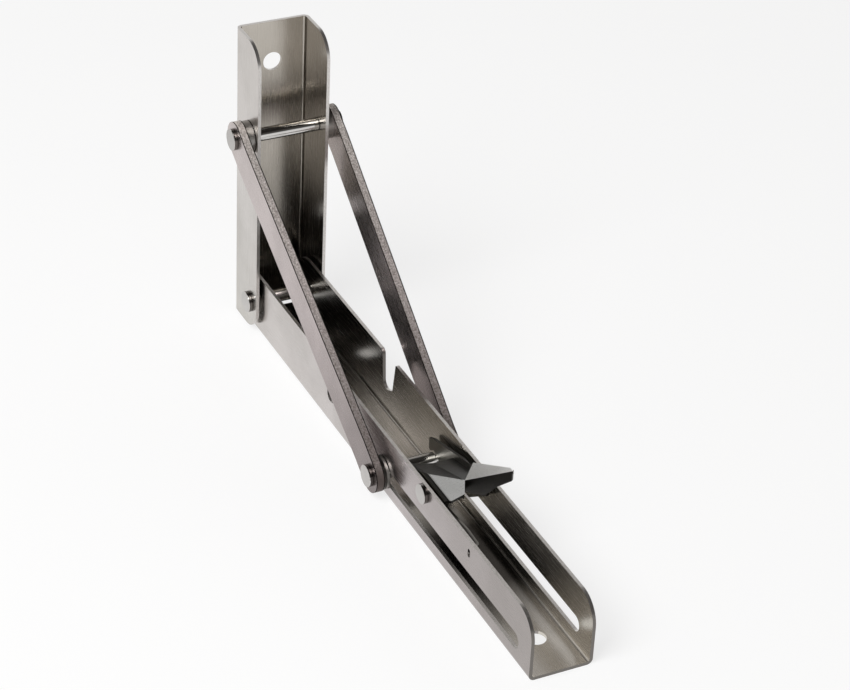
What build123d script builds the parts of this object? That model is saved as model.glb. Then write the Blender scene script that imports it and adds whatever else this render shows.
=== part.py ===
from build123d import *
import math
import os

os.makedirs("parts", exist_ok=True)

# Sizes are in millimetres, measured from the wall face (x = 0), the underside of the
# arm's web (z = 0) and the middle plane (y = 0). Pins run along y. The files are written
# with the origin moved to the middle of the arm's length.

# --- driving sizes -------------------------------------------------------------
ARM_LENGTH = 300.0
ARM_WIDTH = 29.0
ARM_HEIGHT = 30.4
SHEET = 1.5
BEND_RADIUS = 2.7
ARM_WEB_START = 6.3
CORNER_RADIUS = 12.0

WALL_DEPTH = 26.7
WALL_BOTTOM = 2.0
WALL_TOP = 151.0

# Clearances: the folded channels, pieces side by side, and a pin in its hole.
FOLD_GAP = 1.2
SIDE_GAP = 0.3
RUN_FIT = 0.05

HINGE_PIN_RADIUS = 2.5
HINGE_SLEEVE_RADIUS = 3.25
WASHER_RADIUS = 6.0
WASHER_THICKNESS = 1.2
HEAD_RADIUS = 5.0
HEAD_THICKNESS = 1.8

UPPER_PIN_X = 17.2
UPPER_PIN_Z = 103.2
UPPER_PIN_RADIUS = 2.3
UPPER_SLEEVE_RADIUS = 3.1

LOWER_PIN_X = 162.3
LOWER_PIN_Z = 11.1
LOWER_PIN_RADIUS = 2.25
LOWER_SLEEVE_RADIUS = 3.45
SLOT_GAP = 0.3
SLOT_END_MARGIN = 10.2

STRUT_THICKNESS = 4.0
STRUT_WIDTH = 16.0
STRUT_PAD = 12.0
UPPER_BUSH_RADIUS = 7.6
UPPER_BUSH_LENGTH = 3.3
COLLAR_THICKNESS = 1.2
COLLAR_RADIUS = 7.6
LOWER_BUSH_RADIUS = 5.0
LOWER_BUSH_LENGTH = 1.0

NOTCH_GAP = 0.4
NOTCH_LEAN = 1.3
NOTCH_FRONT_LOW = (6.6, -0.7)
NOTCH_FRONT_TOP = 9.0
NOTCH_HEEL = (1.6, -3.2)
NOTCH_REAR_ROUND = 2.5
NOTCH_FRONT_ROUND = 0.8

LEVER_PIN_X = 201.5
LEVER_PIN_DEPTH = 4.4
LEVER_PIN_RADIUS = 1.5
LEVER_HEAD_RADIUS = 4.4
LEVER_SHEET = 1.3
LEVER_SIDE_GAP = 1.8
LEVER_TOP_DEPTH = 0.1
LEVER_BEND = 2.2
EAR_FRONT = 12.4
RIGHT_EAR_FRONT = 10.0
EAR_FRONT_DEPTH = 2.8
EAR_UNDER_PIN = 5.0
EAR_REAR_HEIGHT = 7.2
HOOK_REAR = 5.4
HOOK_RELIEF = 1.6

# The lever's top: places are given from the lever pin and the tongue's upper face.
VALLEY = (3.6, 2.7)
TONGUE_REAR = -6.6
TONGUE_NOSE = (14.6, -9.0)
TONGUE_CORNER = (12.3, -1.7)
DISH_REAR = -21.2
DISH_SLOPE = 0.27
SKIRT_DEPTH = 5.0
SEAM = 0.4
WING_HEEL = (-5.7, 0.8)
WING_BACK_TIP = (17.5, 1.9, 12.0)
WING_FRONT_TIP = (20.9, 0.95, 12.75)
WING_ROUND = 0.8
LIP_OUTLINE = ((0.13, 7.3), (0.446, 10.0), (0.7, 6.6), (1.0, 5.1))

WIRE_RADIUS = 0.4
SPRING_TURNS = 4
SPRING_PITCH = 0.9
COIL_CORNERS = 12
LEG_BOW = (28.0, 1.4)
LEG_TURN = (38.0, 1.0)
ANCHOR_LEAD = 42.5
ANCHOR_DEPTH = 6.0
ANCHOR_HOLE = (4.0, 2.0)

SCREW_HOLE_RADIUS = 4.5
WALL_TOP_HOLE_DEPTH = 20.2
WALL_LOW_HOLE = 47.0
ARM_FRONT_HOLE_DEPTH = 21.6
ARM_REAR_HOLE = 60.0

# --- worked out from the driving sizes -----------------------------------------
ARM_HALF = ARM_WIDTH / 2
ARM_INNER = ARM_HALF - SHEET
WALL_INNER = ARM_HALF + SIDE_GAP + WASHER_THICKNESS
WALL_HALF = WALL_INNER + SHEET
WALL_WIDTH = 2 * WALL_HALF
HINGE_Z = ARM_HEIGHT / 2
ARM_END_RADIUS = ARM_HEIGHT - HINGE_Z
HINGE_X = ARM_END_RADIUS + FOLD_GAP + SHEET
SLOT_HALF = LOWER_SLEEVE_RADIUS + SLOT_GAP
SLOT_FRONT = ARM_LENGTH - SLOT_END_MARGIN
STRUT_UPPER_OUTER = WALL_HALF + SIDE_GAP + UPPER_BUSH_LENGTH + STRUT_THICKNESS
PIN_HALF = ARM_HALF + SIDE_GAP + COLLAR_THICKNESS + LOWER_BUSH_LENGTH
STRUT_LOWER_OUTER = PIN_HALF + SIDE_GAP + STRUT_THICKNESS
STRUT_RISE = UPPER_PIN_Z - LOWER_PIN_Z
STRUT_RUN = LOWER_PIN_X - UPPER_PIN_X
STRUT_CENTRES = math.hypot(STRUT_RUN, STRUT_RISE)
STRUT_ANGLE = math.degrees(math.atan2(STRUT_RISE, STRUT_RUN))
LEVER_PIN_Z = ARM_HEIGHT - LEVER_PIN_DEPTH
LEVER_TOP = ARM_HEIGHT - LEVER_TOP_DEPTH
LEVER_HALF_WIDTH = ARM_INNER - LEVER_SIDE_GAP
EAR_INNER = LEVER_HALF_WIDTH - LEVER_SHEET
ANCHOR_X = LEVER_PIN_X + ANCHOR_LEAD
ANCHOR_Z = ARM_HEIGHT - ANCHOR_DEPTH
WALL_HOLES = (WALL_LOW_HOLE, WALL_TOP - WALL_TOP_HOLE_DEPTH)
ARM_HOLES = (ARM_REAR_HOLE, ARM_LENGTH - ARM_FRONT_HOLE_DEPTH)
# The upper pin drops into the arm's notch once the wall channel has turned by 90 degrees.
FOLDED_X = HINGE_X + (UPPER_PIN_Z - HINGE_Z)
FOLDED_Z = HINGE_Z - (UPPER_PIN_X - HINGE_X)
NOTCH_RADIUS = UPPER_SLEEVE_RADIUS + NOTCH_GAP


def slab(sketch, low, high):
    """A sketch drawn with x across and z up, thickened along y from low to high."""
    return Pos(0, high, 0) * extrude(Plane.XZ * sketch, amount=high - low)


def rod(x, z, radius, low, high):
    """A solid round bar along y."""
    return slab(Pos(x, z) * Circle(radius), low, high)


def tube(x, z, outer, inner, low, high):
    """A plain tube along y."""
    return rod(x, z, outer, low, high) - rod(x, z, inner, low, high)


def head(x, z, radius, inner_y, side):
    """A flat rivet head on the side (+1 or -1)."""
    disc = Cylinder(radius, HEAD_THICKNESS)
    return Pos(x, side * (inner_y + HEAD_THICKNESS / 2), z) * Rot(90, 0, 0) * disc


def export(node, solid):
    """Write one node as a STEP file, in the frame centred on the arm's length."""
    export_step(Pos(-ARM_LENGTH / 2, 0, 0) * solid, f"parts/{node}.step")


def right_of(solid):
    """The mirrored twin on the other side of the middle plane."""
    return mirror(solid, about=Plane.XZ)


# --- shelf arm: one pressed channel with slots, notches and holes ----------------
outer = Pos(0, ARM_HEIGHT / 2) * Rectangle(ARM_WIDTH, ARM_HEIGHT)
outer = fillet(outer.vertices().group_by(Axis.Y)[0], BEND_RADIUS)
inner = Pos(0, SHEET + ARM_HEIGHT / 2) * Rectangle(2 * ARM_INNER, ARM_HEIGHT)
inner = fillet(inner.vertices().group_by(Axis.Y)[0], BEND_RADIUS - SHEET)
channel = extrude(Plane.YZ * (outer - inner), amount=ARM_LENGTH)

side = Pos(HINGE_X, HINGE_Z) * Circle(ARM_END_RADIUS)
side += Pos((HINGE_X + ARM_LENGTH) / 2, ARM_HEIGHT / 2) * Rectangle(ARM_LENGTH - HINGE_X, ARM_HEIGHT)
side += Pos((ARM_WEB_START + HINGE_X) / 2, HINGE_Z / 2) * Rectangle(HINGE_X - ARM_WEB_START, HINGE_Z)
far_top = side.vertices().sort_by(Axis.X)[-2:].sort_by(Axis.Y)[-1]
side = fillet(far_top, CORNER_RADIUS)

notch = make_face(Polyline(
    (FOLDED_X - NOTCH_RADIUS, FOLDED_Z),
    (FOLDED_X - NOTCH_RADIUS - NOTCH_LEAN, ARM_HEIGHT + 1),
    (FOLDED_X + NOTCH_FRONT_TOP, ARM_HEIGHT + 1),
    (FOLDED_X + NOTCH_FRONT_LOW[0], FOLDED_Z + NOTCH_FRONT_LOW[1]),
    (FOLDED_X + NOTCH_HEEL[0], FOLDED_Z + NOTCH_HEEL[1]),
    close=True,
))
notch += Pos(FOLDED_X, FOLDED_Z) * Circle(NOTCH_RADIUS)
side -= notch
for rounding, low, high in (
    (NOTCH_REAR_ROUND, FOLDED_X - 2 * NOTCH_RADIUS, FOLDED_X),
    (NOTCH_FRONT_ROUND, FOLDED_X, FOLDED_X + 2 * NOTCH_FRONT_TOP),
):
    lips = [v for v in side.vertices() if low < v.X < high and v.Y > ARM_HEIGHT - SIDE_GAP]
    side = fillet(lips, rounding)

slot_rear = LOWER_PIN_X - SLOT_HALF
slot_length = SLOT_FRONT - slot_rear
side -= Pos((SLOT_FRONT + slot_rear) / 2, LOWER_PIN_Z) * SlotOverall(slot_length, 2 * SLOT_HALF)
side -= Pos(HINGE_X, HINGE_Z) * Circle(HINGE_PIN_RADIUS + RUN_FIT)
side -= Pos(LEVER_PIN_X, LEVER_PIN_Z) * Circle(LEVER_PIN_RADIUS)

shelf_arm = channel & slab(side, -ARM_HALF, ARM_HALF)
for hole_x in ARM_HOLES:
    shelf_arm -= Pos(hole_x, 0, SHEET / 2) * Cylinder(SCREW_HOLE_RADIUS, 2 * SHEET)
shelf_arm -= slab(Pos(ANCHOR_X, ANCHOR_Z) * SlotOverall(*ANCHOR_HOLE, rotation=90), -ARM_WIDTH, 0)
export("shelf_arm", shelf_arm)

# --- wall channel: one pressed channel that the arm folds into -------------------
outer = Pos(WALL_DEPTH / 2, 0) * Rectangle(WALL_DEPTH, WALL_WIDTH)
outer = fillet(outer.vertices().group_by(Axis.X)[0], BEND_RADIUS)
inner = Pos(SHEET + WALL_DEPTH / 2, 0) * Rectangle(WALL_DEPTH, 2 * WALL_INNER)
inner = fillet(inner.vertices().group_by(Axis.X)[0], BEND_RADIUS - SHEET)
channel = Pos(0, 0, WALL_BOTTOM) * extrude(outer - inner, amount=WALL_TOP - WALL_BOTTOM)

side = Pos(WALL_DEPTH / 2, (WALL_TOP + WALL_BOTTOM) / 2) * Rectangle(WALL_DEPTH, WALL_TOP - WALL_BOTTOM)
side = fillet(side.vertices().group_by(Axis.X)[-1], CORNER_RADIUS)
side -= Pos(HINGE_X, HINGE_Z) * Circle(HINGE_PIN_RADIUS)
side -= Pos(UPPER_PIN_X, UPPER_PIN_Z) * Circle(UPPER_PIN_RADIUS + RUN_FIT)

wall_channel = channel & slab(side, -WALL_HALF, WALL_HALF)
for hole_z in WALL_HOLES:
    wall_channel -= Pos(SHEET / 2, 0, hole_z) * Rot(0, 90, 0) * Cylinder(SCREW_HOLE_RADIUS, 2 * SHEET)
export("wall_channel", wall_channel)

# --- hinge: rivet, sleeve between the arm's flanges, thin washers ----------------
hinge_pin = rod(HINGE_X, HINGE_Z, HINGE_PIN_RADIUS, -WALL_HALF, WALL_HALF)
for sign in (-1, 1):
    hinge_pin += head(HINGE_X, HINGE_Z, HEAD_RADIUS, WALL_HALF, sign)
export("hinge_pin", hinge_pin)

sleeve_half = ARM_INNER - SIDE_GAP
export("hinge_sleeve", tube(HINGE_X, HINGE_Z, HINGE_SLEEVE_RADIUS, HINGE_PIN_RADIUS, -sleeve_half, sleeve_half))

washer = tube(HINGE_X, HINGE_Z, WASHER_RADIUS, HINGE_PIN_RADIUS, -WALL_INNER, -ARM_HALF - SIDE_GAP)
export("left_hinge_washer", washer)
export("right_hinge_washer", right_of(washer))

# --- struts: flat bars, round at both ends, cranked inwards towards the arm ------
band = make_face(Polyline(
    (-STRUT_WIDTH, -STRUT_UPPER_OUTER),
    (STRUT_PAD, -STRUT_UPPER_OUTER),
    (STRUT_CENTRES - STRUT_PAD, -STRUT_LOWER_OUTER),
    (STRUT_CENTRES + STRUT_WIDTH, -STRUT_LOWER_OUTER),
    (STRUT_CENTRES + STRUT_WIDTH, STRUT_THICKNESS - STRUT_LOWER_OUTER),
    (STRUT_CENTRES - STRUT_PAD, STRUT_THICKNESS - STRUT_LOWER_OUTER),
    (STRUT_PAD, STRUT_THICKNESS - STRUT_UPPER_OUTER),
    (-STRUT_WIDTH, STRUT_THICKNESS - STRUT_UPPER_OUTER),
    close=True,
))
bar = extrude(band, amount=STRUT_WIDTH / 2, both=True)
outline = Pos(STRUT_CENTRES / 2, 0) * SlotCenterToCenter(STRUT_CENTRES, STRUT_WIDTH)
outline -= Circle(UPPER_PIN_RADIUS)
outline -= Pos(STRUT_CENTRES, 0) * Circle(LOWER_PIN_RADIUS)
bar &= slab(outline, -STRUT_UPPER_OUTER - 1, 0)
left_strut = Pos(UPPER_PIN_X, 0, UPPER_PIN_Z) * Rot(0, STRUT_ANGLE, 0) * bar
export("left_strut", left_strut)
export("right_strut", right_of(left_strut))

# --- upper pivot: rivet, sleeve between the wall flanges, spacer bushes ----------
upper_pin = rod(UPPER_PIN_X, UPPER_PIN_Z, UPPER_PIN_RADIUS, -STRUT_UPPER_OUTER, STRUT_UPPER_OUTER)
for sign in (-1, 1):
    upper_pin += head(UPPER_PIN_X, UPPER_PIN_Z, HEAD_RADIUS, STRUT_UPPER_OUTER, sign)
export("upper_pin", upper_pin)

sleeve_half = WALL_INNER - SIDE_GAP
upper_sleeve = tube(UPPER_PIN_X, UPPER_PIN_Z, UPPER_SLEEVE_RADIUS, UPPER_PIN_RADIUS, -sleeve_half, sleeve_half)
export("upper_sleeve", upper_sleeve)

bush_inner = WALL_HALF + SIDE_GAP
bush_outer = bush_inner + UPPER_BUSH_LENGTH
bush = tube(UPPER_PIN_X, UPPER_PIN_Z, UPPER_BUSH_RADIUS, UPPER_PIN_RADIUS, -bush_outer, -bush_inner)
export("left_upper_bush", bush)
export("right_upper_bush", right_of(bush))

# --- lower pivot: the rivet's ends ride with the struts --------------------------
strut_inner = STRUT_LOWER_OUTER - STRUT_THICKNESS
stud = rod(LOWER_PIN_X, LOWER_PIN_Z, LOWER_PIN_RADIUS, -STRUT_LOWER_OUTER, -strut_inner)
stud += head(LOWER_PIN_X, LOWER_PIN_Z, HEAD_RADIUS, STRUT_LOWER_OUTER, -1)
export("left_lower_stud", stud)
export("right_lower_stud", right_of(stud))

# --- slot pin: the rivet's middle, with what it carries between the struts -------
export("slot_pin", rod(LOWER_PIN_X, LOWER_PIN_Z, LOWER_PIN_RADIUS, -PIN_HALF, PIN_HALF))

collar_inner = ARM_HALF + SIDE_GAP
collar_outer = collar_inner + COLLAR_THICKNESS
collar = tube(LOWER_PIN_X, LOWER_PIN_Z, COLLAR_RADIUS, LOWER_PIN_RADIUS, -collar_outer, -collar_inner)
export("left_lower_collar", collar)
export("right_lower_collar", right_of(collar))
bush = tube(LOWER_PIN_X, LOWER_PIN_Z, LOWER_BUSH_RADIUS, LOWER_PIN_RADIUS, -PIN_HALF, -collar_outer)
export("left_lower_bush", bush)
export("right_lower_bush", right_of(bush))

sleeve_half = EAR_INNER - SIDE_GAP
slot_sleeve = tube(LOWER_PIN_X, LOWER_PIN_Z, LOWER_SLEEVE_RADIUS, LOWER_PIN_RADIUS, -sleeve_half, sleeve_half)
export("slot_sleeve", slot_sleeve)

roller_inner = LEVER_HALF_WIDTH + SIDE_GAP
roller = tube(LOWER_PIN_X, LOWER_PIN_Z, LOWER_SLEEVE_RADIUS, LOWER_PIN_RADIUS, -collar_inner, -roller_inner)
export("left_slot_roller", roller)
export("right_slot_roller", right_of(roller))

# --- lever pin: rivet through the arm's flanges ----------------------------------
lever_pin = rod(LEVER_PIN_X, LEVER_PIN_Z, LEVER_PIN_RADIUS, -ARM_HALF, ARM_HALF)
for sign in (-1, 1):
    lever_pin += head(LEVER_PIN_X, LEVER_PIN_Z, LEVER_HEAD_RADIUS, ARM_HALF, sign)
export("lever_pin", lever_pin)

# --- release lever: one bent sheet with two ears, a bridge and a thumb wing ------
# The ears' hooks stop just above the slot pin's bare lanes.
hook_low = LOWER_PIN_Z + LOWER_PIN_RADIUS + SIDE_GAP
outer = Pos(0, LEVER_TOP / 2) * Rectangle(2 * LEVER_HALF_WIDTH, LEVER_TOP)
outer = fillet(outer.vertices().group_by(Axis.Y)[-1], LEVER_BEND)
inner = Pos(0, LEVER_TOP / 2 - LEVER_SHEET) * Rectangle(2 * EAR_INNER, LEVER_TOP)
inner = fillet(inner.vertices().group_by(Axis.Y)[-1], LEVER_BEND - LEVER_SHEET)
fold = extrude(Plane.YZ * (outer - inner), amount=ARM_LENGTH)

ear = make_face(Polyline(
    (LOWER_PIN_X - HOOK_REAR, hook_low),
    (LOWER_PIN_X - 2 * HOOK_RELIEF, hook_low),
    (LOWER_PIN_X - HOOK_RELIEF, hook_low + HOOK_RELIEF),
    (LOWER_PIN_X + HOOK_RELIEF, hook_low + HOOK_RELIEF),
    (LOWER_PIN_X + 2 * HOOK_RELIEF, hook_low),
    (LEVER_PIN_X - EAR_UNDER_PIN, hook_low),
    (LEVER_PIN_X + EAR_UNDER_PIN, LEVER_PIN_Z - EAR_UNDER_PIN),
    (LEVER_PIN_X + TONGUE_NOSE[0], LEVER_TOP - EAR_FRONT_DEPTH),
    (LEVER_PIN_X + TONGUE_NOSE[0], LEVER_TOP),
    (LEVER_PIN_X + TONGUE_REAR, LEVER_TOP),
    (LOWER_PIN_X - HOOK_RELIEF, hook_low + EAR_REAR_HEIGHT),
    (LOWER_PIN_X - HOOK_REAR, hook_low + EAR_REAR_HEIGHT - HOOK_RELIEF),
    close=True,
))
fold &= slab(ear, -LEVER_HALF_WIDTH, LEVER_HALF_WIDTH)
fold -= rod(LEVER_PIN_X, LEVER_PIN_Z, LEVER_PIN_RADIUS + RUN_FIT, -ARM_HALF, ARM_HALF)

# Of the fold's top only a tongue on the left is kept, beside the two ears.
tongue = make_face(Polyline(
    (LEVER_PIN_X + TONGUE_REAR, -LEVER_HALF_WIDTH),
    (LEVER_PIN_X + EAR_FRONT, -LEVER_HALF_WIDTH),
    (LEVER_PIN_X + TONGUE_NOSE[0], TONGUE_NOSE[1]),
    (LEVER_PIN_X + TONGUE_CORNER[0], TONGUE_CORNER[1]),
    (LEVER_PIN_X + VALLEY[0], VALLEY[1]),
    (LEVER_PIN_X + TONGUE_REAR, -EAR_INNER),
    close=True,
))
left_ear = Pos(LEVER_PIN_X + EAR_FRONT - ARM_LENGTH / 2, -EAR_INNER - ARM_HALF / 2) * Rectangle(
    ARM_LENGTH, ARM_HALF
)
right_ear = Pos(LEVER_PIN_X + RIGHT_EAR_FRONT - ARM_LENGTH / 2, EAR_INNER + ARM_HALF / 2) * Rectangle(
    ARM_LENGTH, ARM_HALF
)
release_lever = fold & extrude(tongue + left_ear + right_ear, amount=LEVER_TOP)


def place(x, y, z=0.0):
    """A point given from the lever pin, the middle plane and the tongue's upper face."""
    return Vector(LEVER_PIN_X + x, y, LEVER_TOP + z)


def plate(corners, direction, thickness, rounded=()):
    """A flat plate: its outline in space, thickened in one direction, with some corners rounded."""
    face = Face(Wire.make_polygon(corners, close=True))
    near = [v for v in face.vertices() if any((Vector(v) - c).length < RUN_FIT for c in rounded)]
    if near:
        face = face.fillet_2d(WING_ROUND, near)
    return extrude(face, amount=thickness, dir=direction)


# Behind the tongue the sheet is dished down between the ears, in two flat fields.
down = Vector(0, 0, -1)
valley = place(*VALLEY)
tongue_heel = place(TONGUE_REAR, -EAR_INNER)
wing_heel = place(WING_HEEL[0], LEVER_HALF_WIDTH, WING_HEEL[1])
ear_middle = EAR_INNER + LEVER_SHEET / 2
dish_low = DISH_SLOPE * (DISH_REAR - VALLEY[0])
dish_right = place(DISH_REAR, ear_middle, dish_low)
dish_middle = place(DISH_REAR, 0, dish_low)
heel_run = wing_heel - valley
heel_share = (ear_middle - VALLEY[1]) / heel_run.Y
heel_x = VALLEY[0] + heel_share * heel_run.X
dish_heel = place(heel_x, ear_middle, DISH_SLOPE * (heel_x - VALLEY[0]))
release_lever += plate([valley, dish_heel, dish_right, dish_middle], down, LEVER_SHEET)

field_normal = (valley - tongue_heel).cross(dish_middle - tongue_heel)
field_drop = (tongue_heel.X - dish_middle.X) * field_normal.X / field_normal.Z
dish_left = place(DISH_REAR, -EAR_INNER, field_drop)
release_lever += plate([valley, dish_middle, dish_left, tongue_heel], down, LEVER_SHEET)

# A riser lifts the dish's right edge to the wing's heel.
riser_low = valley + down * LEVER_SHEET
riser_side = Vector(heel_run.Y, -heel_run.X, 0).normalized()
riser = [valley, wing_heel, Vector(wing_heel.X, wing_heel.Y, dish_heel.Z - LEVER_SHEET), riser_low]
release_lever += plate(riser, riser_side, LEVER_SHEET)

# A skirt is turned down along the tongue's right edge.
tongue_corner = place(*TONGUE_CORNER)
skirt_run = tongue_corner - valley
skirt_root = valley - skirt_run.normalized() * SEAM
skirt_low = [tongue_corner + down * SKIRT_DEPTH / 2, skirt_root + down * SKIRT_DEPTH]
skirt_side = Vector(skirt_run.Y, -skirt_run.X, 0).normalized()
release_lever += plate([skirt_root, tongue_corner, *skirt_low], skirt_side, LEVER_SHEET)

# The wing climbs from the riser to the right, over the arm's flange.
back_tip = place(WING_BACK_TIP[0], ARM_HALF + WING_BACK_TIP[1], WING_BACK_TIP[2])
front_tip = place(WING_FRONT_TIP[0], ARM_HALF + WING_FRONT_TIP[1], WING_FRONT_TIP[2])
wing_normal = (front_tip - valley).cross(heel_run).normalized()
back_tip -= wing_normal * (back_tip - valley).dot(wing_normal)
wing = plate([valley, front_tip, back_tip, wing_heel], -wing_normal, LEVER_SHEET, (back_tip,))
release_lever += wing

# Its front edge is turned down into a lip that clears the flange when pressed.
edge_run = front_tip - valley
lip_root = valley - edge_run.normalized() * SEAM
lip_low = [valley + edge_run * share + down * drop for share, drop in LIP_OUTLINE]
lip_side = Vector(-edge_run.Y, edge_run.X, 0).normalized()
lip = plate([lip_root, lip_root + down * SKIRT_DEPTH, *lip_low, front_tip], lip_side, LEVER_SHEET)
release_lever += lip
export("release_lever", release_lever)

# --- lever spring: a coil on the lever pin, one long leg to the anchor hole ------
# The wire is drawn with a square section and the coil with straight chords, to keep its
# facets few.
wire_side = 2 * WIRE_RADIUS
coil_radius = LEVER_PIN_RADIUS + SIDE_GAP + WIRE_RADIUS
coil_start = SIDE_GAP + WIRE_RADIUS - EAR_INNER
coil = []
for step in range(COIL_CORNERS // 2 + COIL_CORNERS * SPRING_TURNS + 1):
    turn = math.radians(-90 - 360 * step / COIL_CORNERS)
    coil.append((
        LEVER_PIN_X + coil_radius * math.cos(turn),
        coil_start + SPRING_PITCH * step / COIL_CORNERS,
        LEVER_PIN_Z + coil_radius * math.sin(turn),
    ))
long_leg = [
    (ANCHOR_X, -ARM_HALF, ANCHOR_Z),
    (ANCHOR_X - WIRE_RADIUS, -ARM_INNER + WIRE_RADIUS, ANCHOR_Z),
    (LEVER_PIN_X + LEG_TURN[0], coil_start + LEG_TURN[1], ANCHOR_Z),
    (LEVER_PIN_X + LEG_BOW[0], coil_start + LEG_BOW[1], ANCHOR_Z),
]
short_leg = (LEVER_PIN_X + 3 * coil_radius, coil[-1][1], coil[-1][2] - 2 * WIRE_RADIUS)
wire = Polyline(*long_leg, *coil, short_leg)
section = Plane(wire @ 0, x_dir=(1, 0, 0), z_dir=wire % 0) * Rectangle(wire_side, wire_side)
export("lever_spring", sweep(section, path=wire, transition=Transition.RIGHT))
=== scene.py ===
import math

import bpy
import numpy as np
from mathutils import Matrix, Vector


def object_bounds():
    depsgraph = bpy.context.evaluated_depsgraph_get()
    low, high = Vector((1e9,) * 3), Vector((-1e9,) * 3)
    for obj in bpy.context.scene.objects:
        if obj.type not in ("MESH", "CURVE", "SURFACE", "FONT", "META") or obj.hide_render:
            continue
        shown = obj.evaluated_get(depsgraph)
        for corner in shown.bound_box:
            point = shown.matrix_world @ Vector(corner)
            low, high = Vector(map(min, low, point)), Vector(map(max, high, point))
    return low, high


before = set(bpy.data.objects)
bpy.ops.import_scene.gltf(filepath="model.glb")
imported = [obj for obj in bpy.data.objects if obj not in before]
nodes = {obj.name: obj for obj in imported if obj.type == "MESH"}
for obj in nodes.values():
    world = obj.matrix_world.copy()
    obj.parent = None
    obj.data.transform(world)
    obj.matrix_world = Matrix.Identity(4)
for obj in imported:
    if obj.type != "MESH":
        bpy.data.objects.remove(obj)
cad_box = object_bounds()
scene = bpy.context.scene

# ---------------------------------------------------------------------------
# Camera: a long lens held above the front left corner of the bracket, tilted
# a little, so that both channels and the thumb lever are seen.
# ---------------------------------------------------------------------------
azimuth, elevation, roll = (math.radians(angle) for angle in (62.72, 32.83, 2.90))
stand = (0.85519, -0.43196, 0.68426)
focal_mm, sensor_mm = 112.83, 36.0
nearest, farthest = 0.05, 20.0
backward = Vector((
    math.sin(azimuth) * math.cos(elevation),
    -math.cos(azimuth) * math.cos(elevation),
    math.sin(elevation),
))
level = (-backward).cross(Vector((0, 0, 1))).normalized()
upright = level.cross(-backward)
right = level * math.cos(roll) + upright * math.sin(roll)
up = upright * math.cos(roll) - level * math.sin(roll)
camera = bpy.data.objects.new("camera", bpy.data.cameras.new("camera"))
camera.data.sensor_width, camera.data.lens = sensor_mm, focal_mm
camera.data.clip_start, camera.data.clip_end = nearest, farthest
camera.matrix_world = Matrix.Translation(stand) @ Matrix((right, up, backward)).transposed().to_4x4()
scene.collection.objects.link(camera)
scene.camera = camera

# ---------------------------------------------------------------------------
# Studio: white paper under the bracket, a pale room that darkens towards the
# ceiling and on one side, and one large soft lamp high at the left. The floor
# keeps a faint shadow, and looks pale to the camera, to gloss and to glass.
# ---------------------------------------------------------------------------
# A colour mix takes its factor and its two colours at these sockets, and gives its result at the last.
FACTOR, FIRST, SECOND, MIXED = 0, 6, 7, 2


def linear(code):
    """The linear colour of an sRGB hex code: each channel through the sRGB curve."""
    part = np.array([int(code[i : i + 2], 16) / 255 for i in (1, 3, 5)])
    part = np.where(part <= 0.04045, part / 12.92, ((part + 0.055) / 1.055) ** 2.4)
    return (*(float(p) for p in part), 1.0)


def add(tree, kind, settings=None, links=None):
    """Adds one shader node. Settings fill its sockets, its own attributes or the (place, colour code)
    stops of its ramp, and links name the sockets that feed it."""
    made = tree.nodes.new("ShaderNode" + kind)
    for name, value in (settings or {}).items():
        if name == "stops":
            for place, _ in value[1:-1]:
                made.color_ramp.elements.new(place)
            for element, (place, code) in zip(made.color_ramp.elements, value):
                element.position, element.color = place, linear(code)
        elif isinstance(name, int) or name in made.inputs:
            made.inputs[name].default_value = value
        else:
            setattr(made, name, value)
    for name, source in (links or {}).items():
        tree.links.new(source, made.inputs[name])
    return made


world = bpy.data.worlds.new("pale studio with a dark ceiling")
world.use_nodes = True
tree = world.node_tree
dark_side = (0.89, -0.46, 0.0)
heading = add(tree, "TexCoord").outputs["Generated"]
rise = add(tree, "SeparateXYZ", {}, {"Vector": heading}).outputs["Z"]
toward = add(tree, "VectorMath", {"operation": "DOT_PRODUCT", 1: dark_side}, {0: heading}).outputs["Value"]
turn = add(tree, "MapRange", {"From Min": -1.0, "From Max": 1.0}, {"Value": toward}).outputs["Result"]
wall_shades = ((0.0, "#FFFFFF"), (0.45, "#E6E4E2"), (0.7, "#5A5856"), (1.0, "#3A3836"))
ceiling_shades = ((0.0, "#FFFFFF"), (0.3, "#FFFFFF"), (0.58, "#E4E2E0"), (0.74, "#4A4846"), (1.0, "#2A2826"))
near_floor = ((0.0, "#FFFFFF"), (0.08, "#FFFFFF"), (0.25, "#000000"))
walls = add(tree, "ValToRGB", {"stops": wall_shades}, {"Fac": turn}).outputs["Color"]
ceiling = add(tree, "ValToRGB", {"stops": ceiling_shades}, {"Fac": rise}).outputs["Color"]
low = add(tree, "ValToRGB", {"stops": near_floor}, {"Fac": rise}).outputs["Color"]
room = add(
    tree, "Mix", {"data_type": "RGBA", "blend_type": "MULTIPLY", FACTOR: 1.0}, {FIRST: ceiling, SECOND: walls}
)
room = add(
    tree, "Mix", {"data_type": "RGBA", SECOND: linear("#FFFFFF")}, {FACTOR: low, FIRST: room.outputs[MIXED]}
)
tree.links.new(room.outputs[MIXED], tree.nodes["Background"].inputs["Color"])
scene.world = world

scene.view_settings.view_transform = "Standard"

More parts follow.
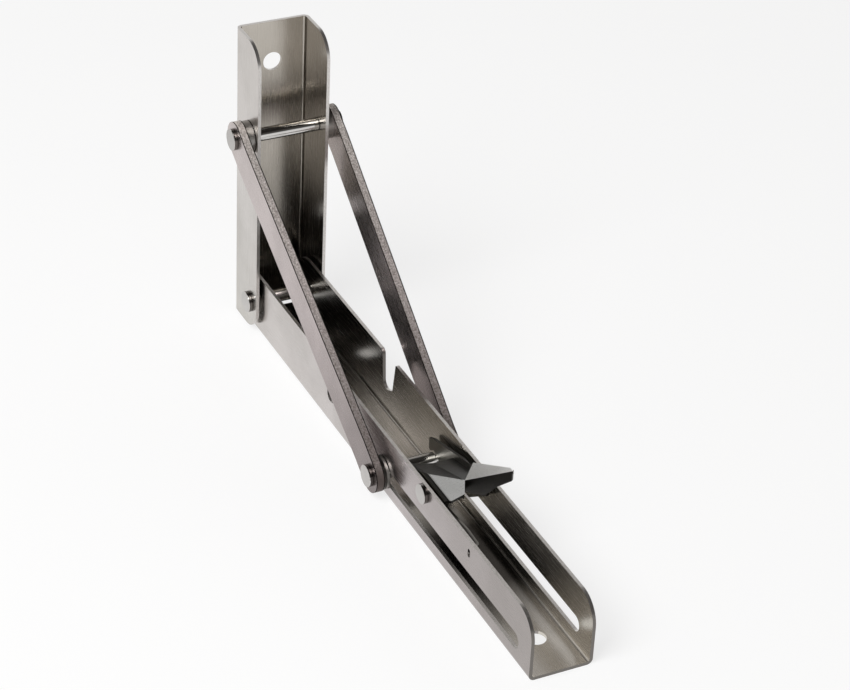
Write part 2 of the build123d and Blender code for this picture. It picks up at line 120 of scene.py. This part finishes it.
# The paper is matt. Three quarters of what the camera, gloss and glass get from it is plain white.
half_floor = 3.0
white_share = 0.75
corners = [(-half_floor, -half_floor, 0), (half_floor, -half_floor, 0),
           (half_floor, half_floor, 0), (-half_floor, half_floor, 0)]
floor_mesh = bpy.data.meshes.new("paper_floor")
floor_mesh.from_pydata(corners, [], [(0, 1, 2, 3)])
paper_floor = bpy.data.objects.new("paper_floor", floor_mesh)
scene.collection.objects.link(paper_floor)
paper = bpy.data.materials.new("matt white paper")
paper.use_nodes = True
tree = paper.node_tree
matt = tree.nodes["Principled BSDF"]
matt.inputs["Base Color"].default_value = linear("#FAFAFA")
matt.inputs["Roughness"].default_value = 0.9
matt.inputs["Specular IOR Level"].default_value = 0.1
ray = add(tree, "LightPath").outputs
seen = add(tree, "Math", {"operation": "MAXIMUM"}, {0: ray["Is Camera Ray"], 1: ray["Is Glossy Ray"]})
seen = add(tree, "Math", {"operation": "MAXIMUM"}, {0: seen.outputs[0], 1: ray["Is Transmission Ray"]})
share = add(tree, "Math", {"operation": "MULTIPLY", 1: white_share}, {0: seen.outputs[0]})
glow = add(tree, "Emission", {"Color": linear("#FFFFFF"), "Strength": 1.0})
both = add(tree, "MixShader", {}, {0: share.outputs[0], 1: matt.outputs[0], 2: glow.outputs[0]})
tree.links.new(both.outputs[0], tree.nodes["Material Output"].inputs["Surface"])
floor_mesh.materials.append(paper)

lamp_place = Vector((0.5, -1.2, 1.5))
lamp_target = Vector((0, 0, 0.05))
lamp_watts, lamp_side = 38.0, 1.2
lamp = bpy.data.lights.new("high left softbox", "AREA")
lamp.energy, lamp.size = lamp_watts, lamp_side
softbox = bpy.data.objects.new("high left softbox", lamp)
aim = (lamp_target - lamp_place).to_track_quat("-Z", "Y").to_matrix().to_4x4()
softbox.matrix_world = Matrix.Translation(lamp_place) @ aim
scene.collection.objects.link(softbox)

# ---------------------------------------------------------------------------
# The two channels: strip, taken to be stainless, blanked and pressed to a U
# and left satin, so that it shines softly across a fine grain along its
# length. The thin cut edges are lighter and rougher.
# ---------------------------------------------------------------------------
# Patterns are given as marks to the millimetre, and this turns them into marks to the metre.
PER_METRE = 1000.0


def surface(tree):
    """Where a point lies on its piece, whole and split into X, Y and Z, and which way it faces."""
    here = add(tree, "TexCoord")
    spot = add(tree, "SeparateXYZ", {}, {"Vector": here.outputs["Object"]}).outputs
    normal = add(tree, "SeparateXYZ", {}, {"Vector": here.outputs["Normal"]}).outputs
    return here.outputs["Object"], spot, normal


def lay(tree, colour, where=None, blend="MIX"):
    """Lays a colour over the base colour that the shader has, everywhere or only where the mask is 1."""
    base = tree.nodes["Principled BSDF"].inputs["Base Color"]
    mixing = {"data_type": "RGBA", "blend_type": blend, FACTOR: 1.0}
    laid = add(tree, "Mix", mixing, {FIRST: base.links[0].from_socket})
    if isinstance(colour, str):
        laid.inputs[SECOND].default_value = linear(colour)
    else:
        tree.links.new(colour, laid.inputs[SECOND])
    if where:
        tree.links.new(where, laid.inputs[FACTOR])
    tree.links.new(laid.outputs[MIXED], base)


def satin_steel(name, tint, shade, grain, roughness, turn=(0.0, 0.0, 0.0)):
    """Satin steel: a fine grain moves the roughness and a small bump, and soft clouds some 22 mm across
    shade the colour. The grain is in marks to the millimetre along X, Y and Z, after the turn."""
    steel = bpy.data.materials.new(name)
    steel.use_nodes = True
    tree = steel.node_tree
    shader = tree.nodes["Principled BSDF"]
    cloud_marks = 0.045
    groove_depth = 0.00005
    here = add(tree, "TexCoord").outputs["Object"]
    turned = add(tree, "Mapping", {"Rotation": turn}, {"Vector": here}).outputs["Vector"]
    marks = tuple(count * PER_METRE for count in grain)
    stretch = add(tree, "Mapping", {"Scale": marks}, {"Vector": turned}).outputs["Vector"]
    lines = {"Scale": 1.0, "Detail": 4.0, "Roughness": 0.6}
    fine = add(tree, "TexNoise", lines, {"Vector": stretch}).outputs["Fac"]
    clouds = {"Scale": cloud_marks * PER_METRE, "Detail": 3.0}
    cloud = add(tree, "TexNoise", clouds, {"Vector": here}).outputs["Fac"]
    blend = add(tree, "MapRange", {"From Min": 0.35, "From Max": 0.65}, {"Value": cloud}).outputs["Result"]
    colour = add(
        tree, "Mix", {"data_type": "RGBA", FIRST: linear(shade), SECOND: linear(tint)}, {FACTOR: blend}
    ).outputs[MIXED]
    dullness = {"From Min": 0.3, "From Max": 0.7, "To Min": roughness - 0.06, "To Max": roughness + 0.08}
    rough = add(tree, "MapRange", dullness, {"Value": fine}).outputs["Result"]
    bump = add(tree, "Bump", {"Strength": 0.12, "Distance": groove_depth}, {"Height": fine}).outputs["Normal"]
    shader.inputs["Metallic"].default_value = 1.0
    for socket, source in (("Base Color", colour), ("Roughness", rough), ("Normal", bump)):
        tree.links.new(source, shader.inputs[socket])
    return steel


def dress(material, *names):
    """Puts one material on every slot of the named nodes."""
    for name in names:
        mesh = nodes[name].data
        mesh.materials.clear()
        mesh.materials.append(material)


def cut_edges(steel, ends, rise, root, inner, tint, shade, butt, roughness, grit):
    """Finishes the sheared edges, whose faces stand square to the sheet, and returns their mask and grit.

    ends is the axis along the strip, and butt the tint of its two ends. rise is the axis in which the
    flanges stand up, root the height where they leave the bend, and inner half the inside width."""
    tree = steel.node_tree
    # An edge faces across the sheet by less than half, and an end faces almost straight along the strip.
    half_across, along_strip = 0.5, 0.9
    here, spot, normal = surface(tree)
    across = add(tree, "Math", {"operation": "ABSOLUTE"}, {0: normal["Y"]}).outputs[0]
    out = add(tree, "Math", {"operation": "ABSOLUTE"}, {0: spot["Y"]}).outputs[0]
    edge = add(tree, "Math", {"operation": "LESS_THAN", 1: half_across}, {0: across}).outputs[0]
    for value, limit in ((out, inner), (spot[rise], root)):
        past = add(tree, "Math", {"operation": "GREATER_THAN", 1: limit}, {0: value}).outputs[0]
        edge = add(tree, "Math", {"operation": "MULTIPLY"}, {0: edge, 1: past}).outputs[0]
    endwise = add(tree, "Math", {"operation": "ABSOLUTE"}, {0: normal[ends]}).outputs[0]
    end = add(tree, "Math", {"operation": "GREATER_THAN", 1: along_strip}, {0: endwise}).outputs[0]
    edge = add(tree, "Math", {"operation": "MAXIMUM"}, {0: edge, 1: end}).outputs[0]
    sand = add(
        tree, "TexNoise", {"Scale": grit * PER_METRE, "Detail": 3.0, "Roughness": 0.7}, {"Vector": here}
    ).outputs["Fac"]
    spread = add(tree, "MapRange", {"From Min": 0.35, "From Max": 0.65}, {"Value": sand}).outputs["Result"]
    torn = add(
        tree, "Mix", {"data_type": "RGBA", FIRST: linear(shade), SECOND: linear(tint)}, {FACTOR: spread}
    ).outputs[MIXED]
    square = add(tree, "MapRange", {"From Min": 0.5, "From Max": 0.95}, {"Value": endwise}).outputs["Result"]
    torn = add(
        tree, "Mix", {"data_type": "RGBA", SECOND: linear(butt)}, {FACTOR: square, FIRST: torn}
    ).outputs[MIXED]
    lay(tree, torn, edge)
    dull = tree.nodes["Principled BSDF"].inputs["Roughness"]
    # A mix of plain numbers has its two values at sockets 2 and 3.
    edged = add(tree, "Mix", {"data_type": "FLOAT", 3: roughness}, {0: edge, 2: dull.links[0].from_socket})
    tree.links.new(edged.outputs[0], dull)
    return edge, sand


def paint_reflection_and_shade(steel, rise, web, along, span, outer, flanges, bed):
    """Paints reflection and shade into a channel's outside, its flanges' inner faces and its bed, each by a ramp
    along the strip.

    The flanges' inner faces look at the middle plane. The bed is the inner face of the web, up to web."""
    tree = steel.node_tree
    # Inner faces have their normal and their place on opposite sides, and the bed faces up by over 0.3.
    inner_limit, bed_limit = -0.002, 0.3
    _, spot, normal = surface(tree)
    facing = add(tree, "Math", {"operation": "MULTIPLY"}, {0: normal["Y"], 1: spot["Y"]}).outputs[0]
    inward = add(tree, "Math", {"operation": "LESS_THAN", 1: inner_limit}, {0: facing}).outputs[0]
    rising = add(tree, "Math", {"operation": "GREATER_THAN", 1: bed_limit}, {0: normal[rise]}).outputs[0]
    deep = add(tree, "Math", {"operation": "LESS_THAN", 1: web}, {0: spot[rise]}).outputs[0]
    flat = add(tree, "Math", {"operation": "MULTIPLY"}, {0: rising, 1: deep}).outputs[0]
    ends = {"From Min": span[0], "From Max": span[1]}
    run = add(tree, "MapRange", ends, {"Value": spot[along]}).outputs["Result"]
    outside, inside, floor = (
        add(tree, "ValToRGB", {"stops": stops}, {"Fac": run}).outputs["Color"] for stops in (outer, flanges, bed)
    )
    painted_light = add(tree, "Mix", {"data_type": "RGBA"}, {FACTOR: inward, FIRST: outside, SECOND: inside})
    painted_light = add(tree, "Mix", {"data_type": "RGBA"}, {FACTOR: flat, FIRST: painted_light.outputs[MIXED], SECOND: floor})
    lay(tree, painted_light.outputs[MIXED], blend="MULTIPLY")


# The grain is 0.15 mm wide and 20 mm long, and the grit of the edges 0.67 mm, coarser than the real ones
# so that they show. The tints along each strip are painted reflection and painted shade: bare sheet is
# one colour, and they stand for the light and dark that it mirrors and for the shade inside the channels.
sheet = 0.0015
hair = 0.00001
(back, _, ground), (front, _, top) = cad_box
arm_inner, wall_inner = 0.013, 0.016
arm_steel = satin_steel(
    "satin stainless sheet, grain along the arm", "#E0DDDB", "#D2CFCC", (0.05, 6.5, 6.5), 0.22
)
paint_reflection_and_shade(
    arm_steel, "Z", 2 * sheet, "X", (back, front),
    outer=((0.0, "#E6E3E1"), (0.45, "#DEDADA"), (0.65, "#C9C3C4"), (1.0, "#B8B3B1")),
    flanges=((0.15, "#A3A19C"), (0.42, "#FFFEFA"), (0.7, "#F4F2EA"), (1.0, "#FFFDF5")),
    bed=((0.12, "#8F8D89"), (0.34, "#FFFEFA"), (0.58, "#F4F2EC"),
         (0.67, "#45423F"), (0.8, "#55524F"), (0.94, "#FFFDF8")),
)
cut_edges(
    arm_steel, ends="X", rise="Z", root=2 * sheet, inner=arm_inner - hair,
    tint="#E2DFDC", shade="#BDB9B5", butt="#77736F", roughness=0.35, grit=1.5,
)
dress(arm_steel, "shelf_arm")
wall_steel = satin_steel(
    "satin stainless sheet, grain up the wall", "#E0DDDB", "#D2CFCC", (6.5, 6.5, 0.05), 0.22
)
paint_reflection_and_shade(
    wall_steel, "X", back + 2 * sheet, "Z", (ground, top),
    outer=((0.0, "#E0DFDB"), (0.5, "#E9E7E5"), (1.0, "#E4E1DE")),
    flanges=((0.2, "#A09D97"), (0.8, "#D0CCC5")),
    bed=((0.2, "#94918B"), (0.55, "#CBC7BF"), (0.9, "#DAD6CE")),
)
cut_edges(
    wall_steel, ends="Z", rise="X", root=back + 2 * sheet, inner=wall_inner - hair,
    tint="#E2DFDC", shade="#BDB9B5", butt="#D2CFCC", roughness=0.35, grit=1.5,
)
dress(wall_steel, "wall_channel")

# ---------------------------------------------------------------------------
# The struts: flat bar, taken to be stainless, blanked from 4 mm plate and
# cranked. The broad faces are satin, and the narrow ones are sheared: sandy
# and sparkling, with a painted line of shade along the corners.
# ---------------------------------------------------------------------------
upper_rivet = (-0.1328, 0.0, 0.1032)
downhill = (0.8443, 0.0, -0.5359)
slope = math.radians(32.4)
# The middle of the bar's thickness lies this far out at the upper and at the lower rivet, and the crank
# runs between the flat pads round them.
upper_middle, lower_middle = 0.0231, 0.0193
rivet_centres, pad = 0.1719, 0.012
half_bar, shaded_corner_width = 0.002, 0.00045
bar_span = (-0.008, 0.18)
grit_depth = 0.0002
# The grain is 0.33 mm wide and 8 mm long, and the grit of the edges 0.77 mm, both drawn coarse to show.
bar_steel = satin_steel("satin stainless bar", "#CCC5C3", "#BDB6B4", (0.12, 3.0, 3.0), 0.26, (0.0, -slope, 0.0))
tree = bar_steel.node_tree
# A bar has no web, so its edges are found with no limit on height or width.
edge, sand = cut_edges(
    bar_steel, ends="X", rise="X", root=-1.0, inner=0.0,
    tint="#FFFDFA", shade="#A39C96", butt="#C4BDB8", roughness=0.7, grit=1.3,
)
here, spot, _ = surface(tree)
start = add(tree, "VectorMath", {"operation": "SUBTRACT", 1: upper_rivet}, {0: here}).outputs["Vector"]
along = add(tree, "VectorMath", {"operation": "DOT_PRODUCT", 1: downhill}, {0: start}).outputs["Value"]
crank = {"From Min": pad, "From Max": rivet_centres - pad, "To Min": upper_middle, "To Max": lower_middle}
middle = add(tree, "MapRange", crank, {"Value": along}).outputs["Result"]
out = add(tree, "Math", {"operation": "ABSOLUTE"}, {0: spot["Y"]}).outputs[0]
off = add(tree, "Math", {"operation": "SUBTRACT"}, {0: out, 1: middle}).outputs[0]
off = add(tree, "Math", {"operation": "ABSOLUTE"}, {0: off}).outputs[0]
outermost = add(tree, "Math", {"operation": "GREATER_THAN", 1: half_bar - shaded_corner_width}, {0: off}).outputs[0]
corner = add(tree, "Math", {"operation": "MULTIPLY"}, {0: outermost, 1: edge}).outputs[0]
# The dark line along the corners is painted shade.
lay(tree, "#2E2B29", corner)
# A painted tint darkens the bar towards the lower rivet, for what it mirrors there.
whole_bar = {"From Min": bar_span[0], "From Max": bar_span[1]}
run = add(tree, "MapRange", whole_bar, {"Value": along}).outputs["Result"]
bar_tints = ((0.0, "#FAF7F6"), (0.5, "#EDE7E8"), (0.85, "#BDB6B6"), (1.0, "#979190"))
lay(tree, add(tree, "ValToRGB", {"stops": bar_tints}, {"Fac": run}).outputs["Color"], blend="MULTIPLY")
facets = add(tree, "Math", {"operation": "MULTIPLY"}, {0: edge, 1: sand}).outputs[0]
relief = tree.nodes["Principled BSDF"].inputs["Normal"]
rougher = add(
    tree, "Bump", {"Strength": 0.7, "Distance": grit_depth},
    {"Height": facets, "Normal": relief.links[0].from_socket},
)
tree.links.new(rougher.outputs["Normal"], relief)
dress(bar_steel, "left_strut", "right_strut")

# ---------------------------------------------------------------------------
# Rivets: headed steel rod, taken to be plated, so the flat of a head shines.
# The bands painted round its rim stand for what a rounded rim mirrors: a
# darker side and a bright outer corner.
# ---------------------------------------------------------------------------
head_height = 0.0018
rim_bands = ((0.0, "#3E3B39"), (0.2, "#6A6663"), (0.55, "#8A8683"), (0.8, "#2E2C2B"), (0.93, "#F4F2F0"))


def rivet_steel(name, seat):
    """Plated rivet steel. seat is how far out from the middle plane the heads start."""
    # The marks are 0.67 mm wide, drawn coarse so that they show.
    steel = satin_steel(name, "#BEBBB8", "#ADAAA7", (1.5, 1.5, 1.5), 0.16)
    tree = steel.node_tree
    _, spot, normal = surface(tree)
    out = add(tree, "Math", {"operation": "ABSOLUTE"}, {0: spot["Y"]}).outputs[0]
    endwise = add(tree, "Math", {"operation": "ABSOLUTE"}, {0: normal["Y"]}).outputs[0]
    around = add(tree, "Math", {"operation": "LESS_THAN", 1: 0.5}, {0: endwise}).outputs[0]
    head = {"From Min": seat, "From Max": seat + head_height}
    share = add(tree, "MapRange", head, {"Value": out}).outputs["Result"]
    lay(tree, add(tree, "ValToRGB", {"stops": rim_bands}, {"Fac": share}).outputs["Color"], around)
    return steel


hinge_seat, upper_seat, lower_seat, lever_seat = 0.0175, 0.0251, 0.0213, 0.0145
dress(rivet_steel("plated hinge rivet", hinge_seat), "hinge_pin")
dress(rivet_steel("plated upper rivet", upper_seat), "upper_pin")
dress(rivet_steel("plated lower rivet", lower_seat), "left_lower_stud", "right_lower_stud")
dress(rivet_steel("plated lever rivet", lever_seat), "lever_pin")
# The shank's marks run 5 mm along it, so it shines in streaks.
dress(satin_steel("plated rivet shank", "#C9C7C4", "#B9B7B4", (1.5, 0.2, 1.5), 0.16), "slot_pin")

# ---------------------------------------------------------------------------
# Sleeves and rollers: drawn tube, cut to length and polished, so that it
# shows sharp streaks of light. Its marks are 0.4 mm wide and 10 mm long.
# ---------------------------------------------------------------------------
tubes = ("hinge_sleeve", "upper_sleeve", "slot_sleeve", "left_slot_roller", "right_slot_roller")
dress(satin_steel("polished drawn tube", "#D6D4D2", "#C8C6C3", (2.5, 0.1, 2.5), 0.1), *tubes)

# ---------------------------------------------------------------------------
# Bushes, collars and washers: turned or blanked steel, tumbled, which leaves
# it dull and even. Its marks are 0.8 mm wide, drawn coarse so that they show.
# ---------------------------------------------------------------------------
spacers = [name for name in nodes if name.endswith(("bush", "collar", "washer"))]
dress(satin_steel("tumbled steel", "#A9A6A2", "#93908C", (1.2, 1.2, 1.2), 0.4), *spacers)

# ---------------------------------------------------------------------------
# The release lever: one piece of thin sheet, taken to be stainless, blanked
# and folded. Its faces are painted light or dark by the way they face, for
# what each of them mirrors; the sheet itself is one colour.
# ---------------------------------------------------------------------------
lever_top = 0.0303
dish_drop = 0.00008
# Faces that look up by over 0.3 below the tongue are the dish, and those that look sideways the ears.
dish_limit, ear_limit = 0.3, 0.85
# By how far a face looks along the arm: the wing's top, then the level faces, then the lip.
lever_tints = ((0.0, "#F2F2F1"), (0.44, "#F2F2F1"), (0.48, "#D2D3D3"),
               (0.6, "#D2D3D3"), (0.7, "#424140"), (1.0, "#363534"))
# The grain is 0.14 mm wide and runs 2 mm across the lever, drawn coarse so that it shows.
lever_steel = satin_steel("satin stainless lever sheet", "#FFFFFF", "#F0F0EF", (7.0, 0.5, 7.0), 0.3)
tree = lever_steel.node_tree
_, spot, normal = surface(tree)
lean = add(tree, "MapRange", {"From Min": -1.0, "From Max": 1.0}, {"Value": normal["X"]}).outputs["Result"]
painted_light = add(tree, "ValToRGB", {"stops": lever_tints}, {"Fac": lean}).outputs["Color"]
below = lever_top - dish_drop
low = add(tree, "Math", {"operation": "LESS_THAN", 1: below}, {0: spot["Z"]}).outputs[0]
upward = add(tree, "Math", {"operation": "GREATER_THAN", 1: dish_limit}, {0: normal["Z"]}).outputs[0]
dish = add(tree, "Math", {"operation": "MULTIPLY"}, {0: low, 1: upward}).outputs[0]
sideways = add(tree, "Math", {"operation": "ABSOLUTE"}, {0: normal["Y"]}).outputs[0]
ears = add(tree, "Math", {"operation": "GREATER_THAN", 1: ear_limit}, {0: sideways}).outputs[0]
# The dish and the ears get painted shade, darkest in the dish.
for code, where in (("#2F2E2C", dish), ("#77756F", ears)):
    painted_light = add(
        tree, "Mix", {"data_type": "RGBA", SECOND: linear(code)}, {FACTOR: where, FIRST: painted_light}
    ).outputs[MIXED]
lay(tree, painted_light, blend="MULTIPLY")
dress(lever_steel, "release_lever")

# ---------------------------------------------------------------------------
# The lever spring: hard drawn wire, coiled and bent, darker than the sheet and
# softly shining. Its marks are 1.1 mm wide, drawn coarse so that they show.
# ---------------------------------------------------------------------------
dress(satin_steel("drawn spring wire", "#8F8C88", "#7D7A76", (0.9, 0.9, 0.9), 0.3), "lever_spring")
